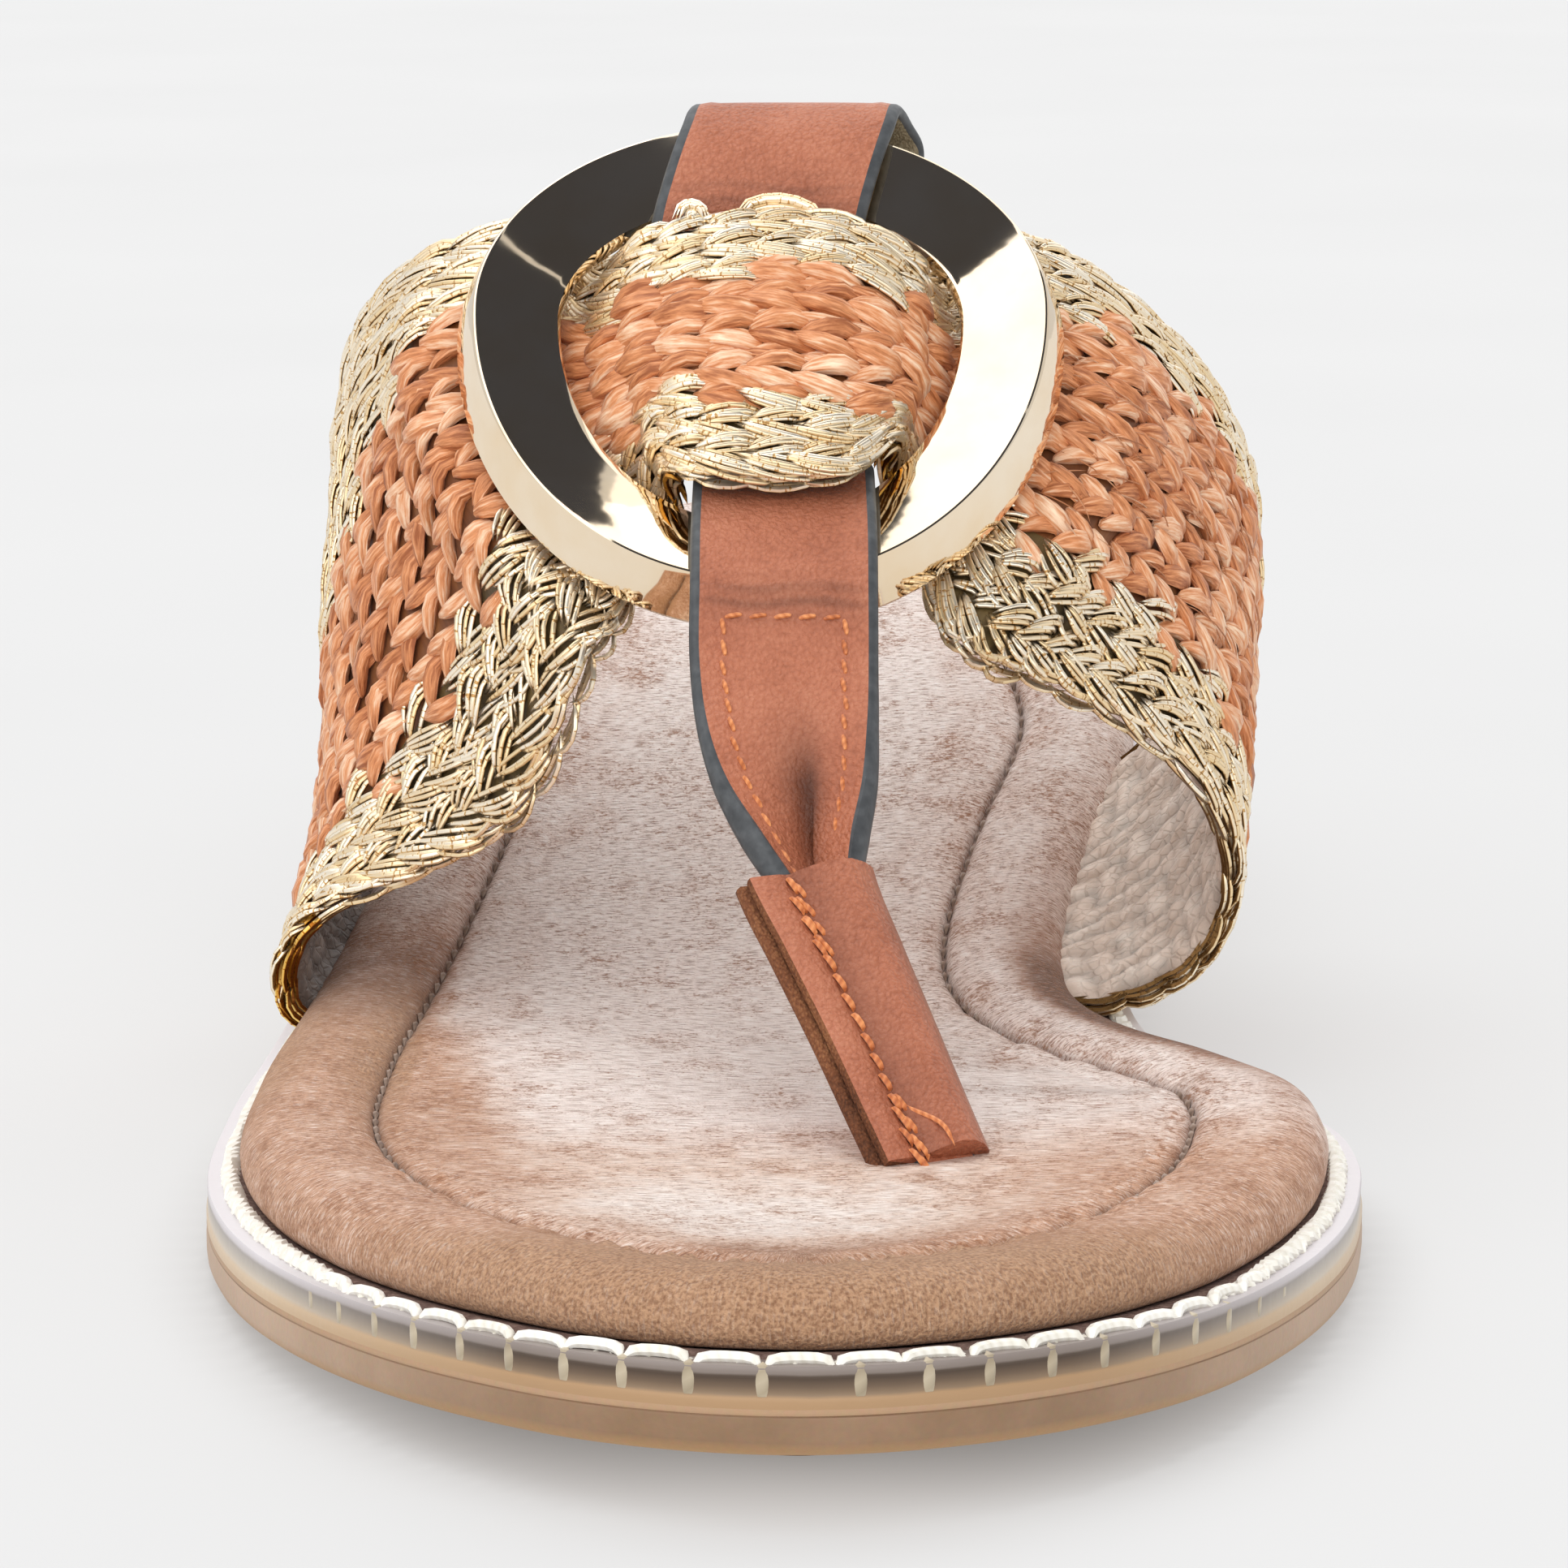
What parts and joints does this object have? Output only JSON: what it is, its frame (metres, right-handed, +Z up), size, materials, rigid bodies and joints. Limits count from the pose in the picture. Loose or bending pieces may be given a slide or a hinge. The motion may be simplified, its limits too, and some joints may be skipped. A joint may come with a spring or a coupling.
{
  "type": "toe post sandal",
  "caption": "Low wedge slip-on sandal with a woven raffia band drawn through a polished ring, a leather toe post and a padded suede footbed on a stitched welt.",
  "frame": {"origin": "on the floor under the middle of the sandal's bounding box", "axes": "+Y from toe to heel along the sole, +X towards the medial side, +Z up"},
  "size_m": [0.0938, 0.2512, 0.0869],
  "materials": {
    "outsole": "tan moulded rubber, satin",
    "welt": "clear soft plastic over pale stitching",
    "insole": "brushed suede",
    "band": "woven raffia with metallic thread edges",
    "ring": "polished pale gold plating",
    "leather": "smooth grained leather with painted edges"
  },
  "bodies": {
    "root": {"outsole": "outsole", "welt": "welt", "insole": "insole", "band": "band", "ring": "ring", "keeper_loop": "leather", "toe_strap": "leather", "post_sleeve": "leather"}
  },
  "joints": []
}
